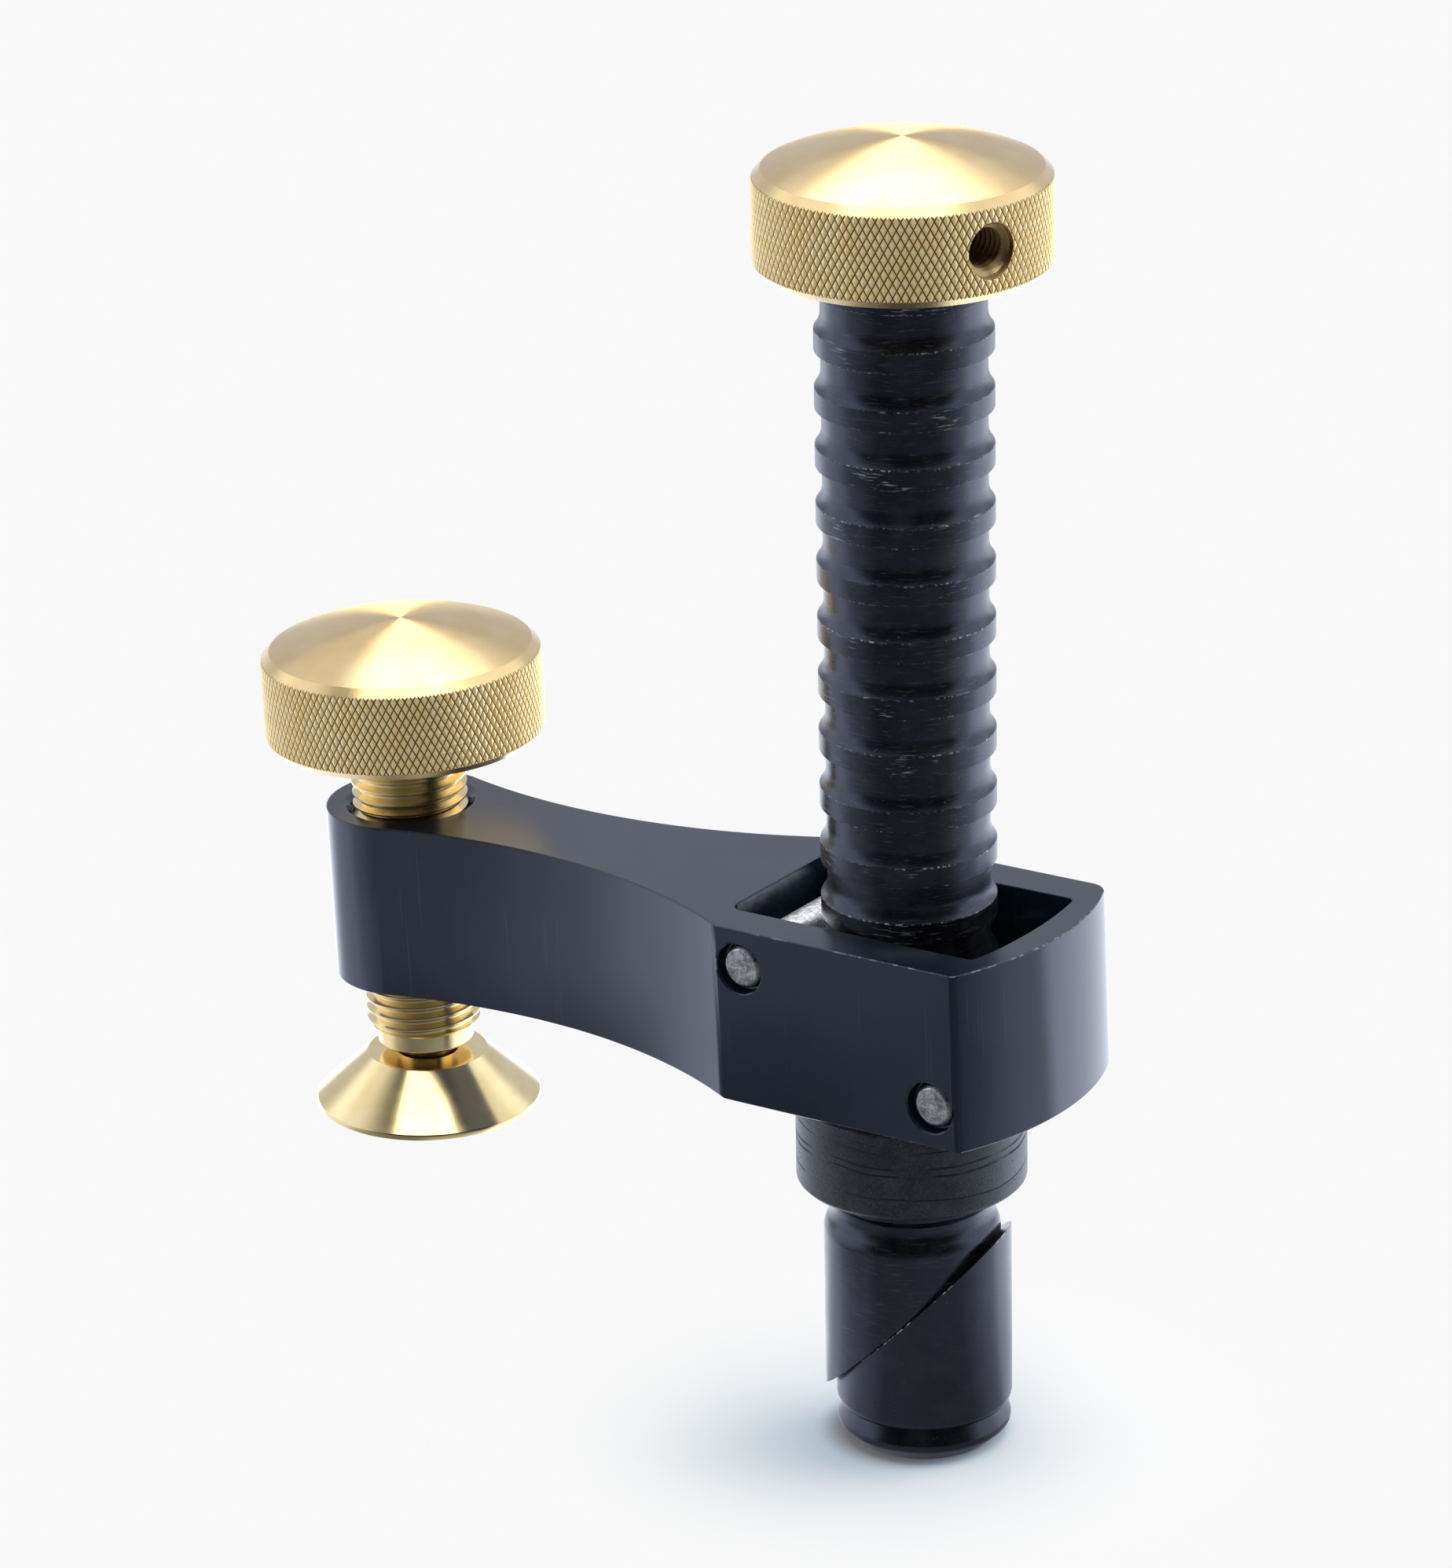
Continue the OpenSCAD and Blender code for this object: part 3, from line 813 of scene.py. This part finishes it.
# Pairs are the two ends of a cloudy tint, and a sheen tints the gloss
SCREW_BRASS = colour(0.9, 0.69, 0.31), colour(0.95, 0.77, 0.41)
KNOB_BRASS = colour(0.88, 0.62, 0.26), colour(0.94, 0.7, 0.34)
KNURL_BRASS = colour(0.99, 0.73, 0.31), colour(1.0, 0.81, 0.42)
HOLE_BRASS = colour(0.5, 0.28, 0.09)
GROOVE_DARK = colour(0.12, 0.06, 0.015)
ANODISED = colour(0.004, 0.007, 0.012), colour(0.007, 0.01, 0.017)
ANODISED_SHEEN = colour(0.5, 0.52, 0.68)
ARM_SCRATCH = colour(0.05, 0.05, 0.06)
ARM_WORN = colour(0.4, 0.4, 0.42)
OXIDE = colour(0.002, 0.002, 0.003), colour(0.009, 0.009, 0.011)
OXIDE_SHEEN = colour(0.42, 0.45, 0.6)
OXIDE_RUBBED = colour(0.42, 0.42, 0.44)
COLLAR_GREY = colour(0.006, 0.006, 0.007), colour(0.026, 0.026, 0.028)
COLLAR_SHEEN = colour(0.62, 0.68, 0.8)
COLLAR_SPECK = colour(0.3, 0.3, 0.31)
COLLAR_MARK = colour(0.002, 0.002, 0.002)
GROUND_STEEL = colour(0.32, 0.32, 0.32), colour(0.88, 0.88, 0.87)
TURNED_STEEL = colour(0.85, 0.85, 0.85)
STEEL_CENTRE = colour(1, 1, 1)
STEEL_PIT = colour(0.1, 0.1, 0.1)

# Gloss of the knobs' turned faces and of the brass's clear coat
KNOB_ROUGH = 0.34
KNOB_SPREAD = 1.0
COAT_IOR = 1.6

# Spans of noise over which a tint clouds over, and over which pits come and go
CLOUDY = 0.3, 0.7
PATCHY = 0.45, 0.6


def brass(name, place, shades=SCREW_BRASS, rough=0.14, spread=0.6, knob=False):
    """Turned brass: fine tool lines, a little tarnish, and a gloss that spreads across the lines."""
    f = Finish(name, place)
    cloud = f.noise(f.at, 0.22, 4)
    tool = f.lines(f.r + f.z, 9.0)
    fine = f.lines(f.r * 1.7 + f.z * 1.7, 30.0)
    tint = f.mix(*shades, f.rise(cloud, *CLOUDY))
    sheen = rough * 0.8
    if knob:
        band_top = KNOB_CHAMFER + KNURL_H
        rim = KNOB_R - KNOB_CHAMFER
        # The brass is tinted darker and browner inside the bore and the radial hole
        hole = (1 - f.rise(f.r, KNOB_R - 2.2, KNOB_R - 1.4)) * f.rise(f.z, KNOB_CHAMFER, KNOB_CHAMFER + 0.5)
        hole = hole * (1 - f.rise(f.z, band_top - 0.5, band_top))
        tint = f.mix(tint, HOLE_BRASS, hole * 0.8)
        rough = rough - 0.16 * f.rise(f.r, rim - 0.05, rim + 0.05)
    rough = rough + cloud * 0.06 + tool * 0.06
    normal = f.bump(tool * 0.6 + fine * 0.4, 0.004)
    return f.set(Base_Color=tint, Metallic=1.0, Roughness=rough, Normal=normal, Anisotropic=spread,
                 Anisotropic_Rotation=0.25, Coat_Weight=0.55, Coat_Roughness=sheen, Coat_IOR=COAT_IOR)


def knob_brass(name, place):
    return brass(name, place, KNOB_BRASS, KNOB_ROUGH, KNOB_SPREAD, knob=True)


def knurled_brass(name, place):
    """Rolled brass: satin diamonds, darker in the grooves."""
    f = Finish(name, place)
    cloud = f.noise(f.at, 0.5, 4)
    grain = f.noise(f.at, 9.0, 3)
    tint = f.mix(*KNURL_BRASS, f.rise(cloud, *CLOUDY))
    deep = 1 - f.rise(f.r, KNOB_R - 0.2, KNOB_R - 0.08)
    # The tint darkens towards the bottom of the grooves
    tint = f.mix(tint, GROOVE_DARK, deep * 0.9)
    rough = 0.34 + grain * 0.12
    normal = f.bump(grain, 0.006)
    return f.set(Base_Color=tint, Metallic=0.55, Roughness=rough, Normal=normal,
                 Coat_Weight=0.45, Coat_Roughness=0.3, Coat_IOR=COAT_IOR)


def black_arm():
    """Black anodised finish: drawn lines down the sides, a fine satin grain and stray scratches."""
    f = Finish("black_anodised", ARM_PLACE)
    drawn = f.noise(f.point(f.x * 9.0, f.y * 9.0, f.z * 0.12), 1.0, 2)
    grain = f.noise(f.at, 14.0, 2)
    cloud = f.noise(f.at, 0.12, 3)
    scratch = f.rise(f.noise(f.point(f.x * 5.0, f.y * 5.0, f.z * 0.05), 1.0, 1), 0.69, 0.74)
    tint = f.mix(*ANODISED, f.rise(cloud, *CLOUDY))
    top = f.rise(f.z, -0.3, -0.1)
    tint = f.mix(tint, ARM_SCRATCH, scratch * (1 - top) * 0.35)
    upright = f.least(abs(f.z), abs(f.z + ARM_H))
    far_end = ((f.x - TAIL + TAIL_R) ** 2 + f.y * f.y) ** 0.5 - TAIL_R
    far_end = abs(far_end) + 1 - f.rise(f.x, 0, 1)
    sideways = f.least(abs(abs(f.y) - HOUSE_R), far_end)
    worn = (1 - f.rise(upright, 0.06, 0.2)) * (1 - f.rise(sideways, 0.06, 0.2))
    worn = worn * f.rise(f.noise(f.at, 1.2, 3), 0.45, 0.65) * f.rise(f.noise(f.at, 0.15, 2), 0.4, 0.55)
    tint = f.mix(tint, ARM_WORN, worn * 0.4)
    rough = 0.06 + cloud * 0.04 + grain * 0.04 + top * 0.15
    normal = f.bump(drawn * 0.5 + grain * 0.5, 0.004)
    return f.set(Base_Color=tint, Roughness=rough, Normal=normal, IOR=2.05, Specular_Tint=ANODISED_SHEEN)


def black_steel(name, rings):
    """Black oxide steel: tool lines, pits, grey rubs, and wear along the rings or the slanted edge."""
    f = Finish(name)
    cloud = f.noise(f.at, 0.3, 4)
    lines = f.lines(f.z, 7.0)
    streak = f.noise(f.point(f.x * 0.5, f.y * 0.5, f.z * 5.0), 1.0, 4)
    pits = f.pits(1.1, 0.14) * f.rise(f.noise(f.at, 0.5, 2), *PATCHY)
    tint = f.mix(*OXIDE, f.rise(cloud, 0.4, 0.75))
    tint = f.mix(tint, OXIDE[0], pits)
    fleck = f.pits(1.7, 0.1) * f.rise(f.noise(f.at, 0.35, 2), 0.48, 0.6)
    rubbed = f.rise(streak, 0.56, 0.68) * 0.4 + fleck * 0.5
    if rings:
        phase = (POST_TOP - f.z) % RING_PITCH
        edge = 1 - f.rise(abs(phase - RING_LAND), 0.03, 0.14)
        edge = edge + (1 - f.rise(phase, 0.03, 0.14)) + f.rise(phase, RING_PITCH - 0.1, RING_PITCH - 0.03)
        out = f.rise(f.r, RING_R - 0.22, RING_R - 0.08) * f.rise(f.z, COLLAR_H, COLLAR_H + 0.5)
        patch = f.rise(f.noise(f.point(f.x * 0.16, f.y * 0.16, f.z * 0.3), 1.0, 2), 0.47, 0.6)
        dash = f.rise(f.noise(f.point(f.x * 2.6, f.y * 2.6, f.z * 2.0), 1.0, 3), 0.5, 0.66)
        scuff = f.rise(f.noise(f.point(f.x * 0.2, f.y * 0.2, f.z * 0.24), 1.0, 3), 0.5, 0.66)
        rubbed = rubbed * (out * scuff * 0.9 + 0.1) + edge * out * (patch * 0.8 + 0.2) * dash * 0.6
    else:
        uphill = f.x * math.cos(CUT_TURN) + f.y * math.sin(CUT_TURN)
        below = uphill * math.tan(CUT_ANGLE) - f.z - CUT_DROP - CUT_GAP
        nick = f.rise(f.noise(f.at, 1.6, 3), 0.5, 0.62) * f.rise(f.noise(f.at, 0.2, 2), 0.4, 0.55)
        rubbed = fleck * 0.25 + (1 - f.rise(below, 0.1, 0.26)) * nick * 0.8
    tint = f.mix(tint, OXIDE_RUBBED, rubbed)
    rough = 0.2 + cloud * 0.11 + lines * 0.05
    normal = f.bump(lines * 0.3 + streak * 0.3 - pits * 1.5, 0.014)
    return f.set(Base_Color=tint, Roughness=rough, Normal=normal, IOR=2.2, Specular_Tint=OXIDE_SHEEN)


def dark_collar():
    """Dark turned collar: coarse tool lines, speckle and a warmer grey."""
    f = Finish("dark_turned_steel")
    cloud = f.noise(f.at, 0.35, 4)
    speckle = f.noise(f.at, 5.0, 3)
    lines = f.lines(f.z, 5.0, 3)
    sway = f.z + f.noise(f.at, 0.12, 1) * 1.6
    deep = f.rise(f.lines(sway, 2.2, 1), 0.62, 0.68) * f.rise(f.noise(f.at, 0.18, 2), 0.42, 0.56)
    pits = f.pits(1.4, 0.16) * f.rise(f.noise(f.at, 0.4, 2), *PATCHY)
    tint = f.mix(*COLLAR_GREY, f.rise(cloud * 0.4 + speckle * 0.6, 0.42, 0.62))
    tint = f.mix(tint, COLLAR_SPECK, f.pits(2.1, 0.09) * 0.6)
    marks = deep + pits - deep * pits
    tint = f.mix(tint, COLLAR_MARK, marks)
    rough = 0.32 + speckle * 0.2 + marks * 0.3
    normal = f.bump(lines * 0.3 + speckle * 0.6 - deep * 1.5 - pits * 1.2, 0.06)
    return f.set(Base_Color=tint, Roughness=rough, Normal=normal, IOR=1.9, Specular_Tint=COLLAR_SHEEN)


def bright_steel(name, place, ringed=False):
    """Ground steel, mottled and pitted, with rings and a bright middle where it was turned."""
    f = Finish(name, place)
    cloud = f.noise(f.at, 1.3, 4)
    mottle = f.noise(f.at, 5.0, 3)
    pits = f.pits(2.2, 0.2)
    tint = f.mix(*GROUND_STEEL, f.rise(cloud * 0.5 + mottle * 0.5, 0.38, 0.62))
    height = mottle - pits
    if ringed:
        rings = f.lines(f.r, 2.6, 2)
        tint = f.mix(tint, TURNED_STEEL, f.rise(rings, 0.5, 0.62) * 0.6)
        tint = f.mix(tint, STEEL_CENTRE, 1 - f.rise(f.r, 0.2, 0.45))
        height = height + rings * 2
    tint = f.mix(tint, STEEL_PIT, pits * 0.7)
    rough = 0.3 + mottle * 0.2
    normal = f.bump(height, 0.02)
    return f.set(Base_Color=tint, Metallic=1.0, Roughness=rough, Normal=normal)


# The object


BODY_OF = {node: body for body, nodes in frame["record"]["behaviour"]["bodies"].items() for node in nodes}


def stand_for(piece, node, place, material):
    """Scales a finished piece to metres at its place, and lets it stand for its solid."""
    move(piece, place @ Matrix.Scale(MM, 4))
    piece.data.name = piece.name
    piece.data.materials.clear()
    piece.data.materials.append(material)
    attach(piece, BODY_OF[node])
    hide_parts(node)


def finish_band(knob, place, material):
    """Gives the knurled band of a knob its own finish."""
    knob.data.materials.append(material)
    to_knob = place.inverted()
    for face in knob.data.polygons:
        at = to_knob @ face.center / MM
        in_band = KNOB_CHAMFER < at.z + BAND_SPARE and at.z < KNOB_CHAMFER + KNURL_H + BAND_SPARE
        if in_band and math.hypot(at.x, at.y) > KNOB_R - BAND_DEPTH:
            face.material_index = 1


black = black_steel("black_oxide_steel", rings=False)
stand_for(ringed_post(), "post", POST_PLACE, black_steel("black_oxide_rings", rings=True))
stand_for(bench_collar(), "collar", POST_PLACE, dark_collar())
stand_for(wedge_foot(), "wedge", POST_PLACE, black)
stand_for(milled_arm(), "arm", ARM_PLACE, black_arm())

for name, node, box in (("rocking_pin", "upper_pin", UPPER_PIN), ("bearing_pin", "lower_pin", LOWER_PIN)):
    place = Matrix.Translation(middle(box) * MM) @ LIE_ACROSS
    stand_for(cross_pin(name, box), node, place,
              bright_steel(name + "_steel", place, ringed=node == "lower_pin"))

top_knob = solid_knob("knurled_top_knob")
only(top_knob)
bpy.ops.object.duplicate()
clamp_knob = bpy.context.object
clamp_knob.name = "knurled_clamp_knob"
bore_knob(top_knob, TOP_BORE_R, KNOB_HOLE_TURN)
bore_knob(clamp_knob, CLAMP_BORE_R, math.pi)
stand_for(top_knob, "top_knob", TOP_KNOB_PLACE, knob_brass("knob_brass", TOP_KNOB_PLACE))
stand_for(clamp_knob, "clamp_knob", CLAMP_KNOB_PLACE,
          knob_brass("clamp_knob_brass", CLAMP_KNOB_PLACE))
finish_band(top_knob, TOP_KNOB_PLACE, knurled_brass("knurl_brass", TOP_KNOB_PLACE))
finish_band(clamp_knob, CLAMP_KNOB_PLACE, knurled_brass("clamp_knurl_brass", CLAMP_KNOB_PLACE))
stand_for(clamp_screw(), "clamp_screw", SCREW_PLACE, brass("screw_brass", SCREW_PLACE))
stand_for(turned_pad(), "swivel_pad", PAD_PLACE, brass("pad_brass", PAD_PLACE))

hardware = bright_steel("hardware_steel", POST_PLACE)
for nodes, finish in ((("draw_rod", "draw_nut", "pad_clip"), hardware),
                      (("knob_set_screw", "clamp_set_screw"), black)):
    for node in nodes:
        solid = frame["nodes"][node]
        solid.data.materials.clear()
        solid.data.materials.append(finish)


# Studio


VIEW_TURN = math.radians(35.7)
TO_CAMERA = (math.sin(VIEW_TURN), -math.cos(VIEW_TURN), 0)
STUDIO_WHITE = colour(0.89, 0.93, 1.04)

# The floor that the camera sees is partly lit and partly glows, so that a shadow on it stays pale and blue
WHITE = (0.94, 0.94, 0.94)
LIT_LEVEL = 1.3
SHADOW_LOSS = colour(0.7, 0.58, 0.49)
# Painted contact shadow: close to the foot the floor's lit part and its glow are painted dark
PAINTED_CONTACT_SHADOW = colour(0.36, 0.35, 0.36)
PAINTED_CONTACT_GLOW = colour(0.03, 0.03, 0.03)
PAINTED_CONTACT_REACH = 7.5, 11
SHADOW_REACH = 10, 40
BLACK = colour(0, 0, 0)
# Floor colour for bounced light: painted shade on the camera's side, pale beside and behind
FLOOR_PAINTED_SHADE = colour(0.25, 0.25, 0.26), colour(0.86, 0.88, 0.91)
FLOOR_SIZE = 6


def glow_for(loss):
    """What the floor has to glow so that it comes out white where the light is full."""
    return colour(*(white - LIT_LEVEL * lost for white, lost in zip(WHITE, loss)))


def floor():
    """Pale floor: white to the camera with a cast shadow and a painted contact shadow near the foot, dim in
    front in reflections, and painted dark in front for bounced light.
    """
    bpy.ops.object.select_all(action="DESELECT")
    bpy.ops.mesh.primitive_plane_add(size=FLOOR_SIZE, location=(0, 0, FOOT_Z * MM))
    ground = bpy.context.object
    ground.name = "studio_floor"
    f = Finish("pale_floor")

    # Where a point lies from the post, seen from the camera: behind it and to its right, each from -1 to 1
    behind = (f.x * TO_CAMERA[0] + f.y * TO_CAMERA[1]) / f.r * -1
    aside = (f.y * TO_CAMERA[0] - f.x * TO_CAMERA[1]) / f.r
    beside = f.rise(behind, -0.75, -0.1)

    # How bright the floor is in reflections, on the left, on the right and under the arm
    front = 0.15 + 0.2 * (1 - f.rise(f.r, 50, 160))
    turned = behind + 0.12 * f.rise(f.r, 200, 300)
    left = 0.12 + 0.16 * (1 - f.rise(f.r, 40, 90)) + 0.28 * f.rise(behind, -0.75, -0.4)
    left = left + 0.29 * f.rise(behind, -0.3, 0.02)
    left = left + 0.4 * f.rise(turned, 0.0, 0.25) + 0.9 * f.rise(behind, 0.5, 0.8)
    right = front + 0.65 * beside + 1.05 * f.rise(turned, 0.0, 0.2)
    right = right * (0.6 + 0.4 * f.rise(f.r, 20, 60))
    under_arm = f.rise(f.r, 45, 65) * (1 - f.rise(f.r, 110, 150))
    under_arm = under_arm * f.rise(behind, -0.6, -0.3) * (1 - f.rise(behind, 0.15, 0.4))
    left = left * (1 - 0.65 * under_arm)
    share = f.rise(aside, -0.3, 0.3)
    level = left * (1 - share) + right * share
    level = level * (1 - 0.45 * f.rise(behind, 0.8, 0.95) * f.rise(f.r, 220, 420))
    # For bounced light the floor's colour is painted dark on the camera's side, a painted shade
    f.set(Base_Color=f.mix(*FLOOR_PAINTED_SHADE, beside), Roughness=0.9, Specular_IOR_Level=0.0)
    mirrored = f.node("ShaderNodeEmission", {}, {"Color": STUDIO_WHITE, "Strength": level})

    # What the camera sees: a lit part that takes the shadow, and a glow that makes up the white; close to the
    # foot both are painted dark, a painted contact shadow
    close = 1 - f.rise(f.r, *PAINTED_CONTACT_REACH)
    far = f.rise(f.r, *SHADOW_REACH)
    glow = f.mix(f.mix(glow_for(SHADOW_LOSS), PAINTED_CONTACT_GLOW, close), colour(*WHITE), far)
    matt = f.mix(f.mix(SHADOW_LOSS, PAINTED_CONTACT_SHADOW, close), BLACK, far)
    glow = f.node("ShaderNodeEmission", {}, {"Color": glow})
    matt = f.node("ShaderNodeBsdfDiffuse", {}, {"Color": matt})
    shown = f.node("ShaderNodeAddShader", {}, {0: glow, 1: matt})
    glossy = f.node("ShaderNodeLightPath", {}, {}, "Is Glossy Ray")
    seen = f.node("ShaderNodeLightPath", {}, {}, "Is Camera Ray")
    plain = Shade(f, f.surface.outputs[0])
    bounced = f.node("ShaderNodeMixShader", {}, {0: glossy, 1: plain, 2: mirrored})
    both = f.node("ShaderNodeMixShader", {}, {0: seen, 1: bounced, 2: shown})
    f.tree.links.new(both.socket, f.tree.nodes["Material Output"].inputs["Surface"])
    ground.data.materials.append(f.material)


VIEW_DOWN = math.radians(21.635)
VIEW_ROLL = math.radians(-1.13)
VIEW_DISTANCE = 0.7445
FOCAL_PIXELS = 8900.9
ORIGIN_PIXEL = (1160.6, 1493.4)
SENSOR = 36
NEAREST = 0.05
LAMPS_AIM = Vector((-0.02, 0, 0.04))


def camera():
    """Camera at the photograph's angle, with the origin at its pixel."""
    data = bpy.data.cameras.new("camera")
    data.sensor_width = SENSOR
    data.lens = SENSOR * FOCAL_PIXELS / PICTURE[1]
    data.clip_start = NEAREST
    eye = bpy.data.objects.new("camera", data)
    bpy.context.scene.collection.objects.link(eye)
    turn = Matrix.Rotation(VIEW_TURN, 3, "Z") @ Matrix.Rotation(math.pi / 2 - VIEW_DOWN, 3, "X")
    turn = turn @ Matrix.Rotation(VIEW_ROLL, 3, "Z")
    right = (ORIGIN_PIXEL[0] - PICTURE[0] / 2) / FOCAL_PIXELS * VIEW_DISTANCE
    up = (PICTURE[1] / 2 - ORIGIN_PIXEL[1]) / FOCAL_PIXELS * VIEW_DISTANCE
    eye.matrix_world = Matrix.Translation(-(turn @ Vector((right, up, -VIEW_DISTANCE)))) @ turn.to_4x4()
    bpy.context.scene.camera = eye


def lamp(name, turn, rise, distance, width, height, watts, mirrored=True, lights=True):
    """A soft lamp that faces the object: its turn round from the camera's side and its rise in degrees."""
    data = bpy.data.lights.new(name, "AREA")
    data.shape = "RECTANGLE"
    data.size = width
    data.size_y = height
    data.energy = watts
    light = bpy.data.objects.new(name, data)
    light.visible_glossy = mirrored
    light.visible_diffuse = lights
    bpy.context.scene.collection.objects.link(light)
    round_z = VIEW_TURN + math.radians(turn)
    up = math.radians(rise)
    way = Vector((math.sin(round_z) * math.cos(up), -math.cos(round_z) * math.cos(up), math.sin(up)))
    light.location = LAMPS_AIM + way * distance
    light.rotation_euler = way.to_track_quat("Z", "Y").to_euler()


def surroundings():
    """World light: white beside, greyer behind, dim on the camera's side, and white to the camera."""
    world = bpy.data.worlds.new("studio")
    bpy.context.scene.world = world
    world.use_nodes = True
    f = Nodes(world.node_tree)
    way = f.node("ShaderNodeTexCoord", {}, {}, "Generated")
    toward = f.node("ShaderNodeVectorMath", {"operation": "DOT_PRODUCT"}, {0: way, 1: TO_CAMERA}, "Value")
    seen = f.node("ShaderNodeLightPath", {}, {}, "Is Camera Ray")
    height = f.part(way, "Z")
    side = (1 - f.rise(abs(toward + 0.1), 0.3, 0.6)) * (1 - f.rise(height, 0.7, 0.9))
    level = 0.015 + 0.65 * f.rise(0 - toward, 0.2, 0.6) + side
    level = level * (1 - seen) + seen
    shade = f.mix(STUDIO_WHITE, colour(*WHITE), seen)
    back = f.tree.nodes["Background"]
    f.tree.links.new(shade.socket, back.inputs["Color"])
    f.tree.links.new(level.socket, back.inputs["Strength"])


bpy.context.scene.view_settings.view_transform = "Standard"
floor()
camera()
surroundings()
lamp("top_softbox", turn=174, rise=84, distance=0.75, width=0.74, height=0.97, watts=6.2)
lamp("back_glow", turn=180, rise=64, distance=0.7, width=0.45, height=0.3, watts=1.5, lights=False)
lamp("left_softbox", turn=-100, rise=12, distance=0.6, width=0.5, height=0.5, watts=0.4, mirrored=False)
lamp("front_fill", turn=-10, rise=20, distance=0.6, width=0.5, height=0.4, watts=1.7, mirrored=False)
lamp("right_softbox", turn=105, rise=18, distance=0.6, width=0.5, height=0.5, watts=3.2, mirrored=False)
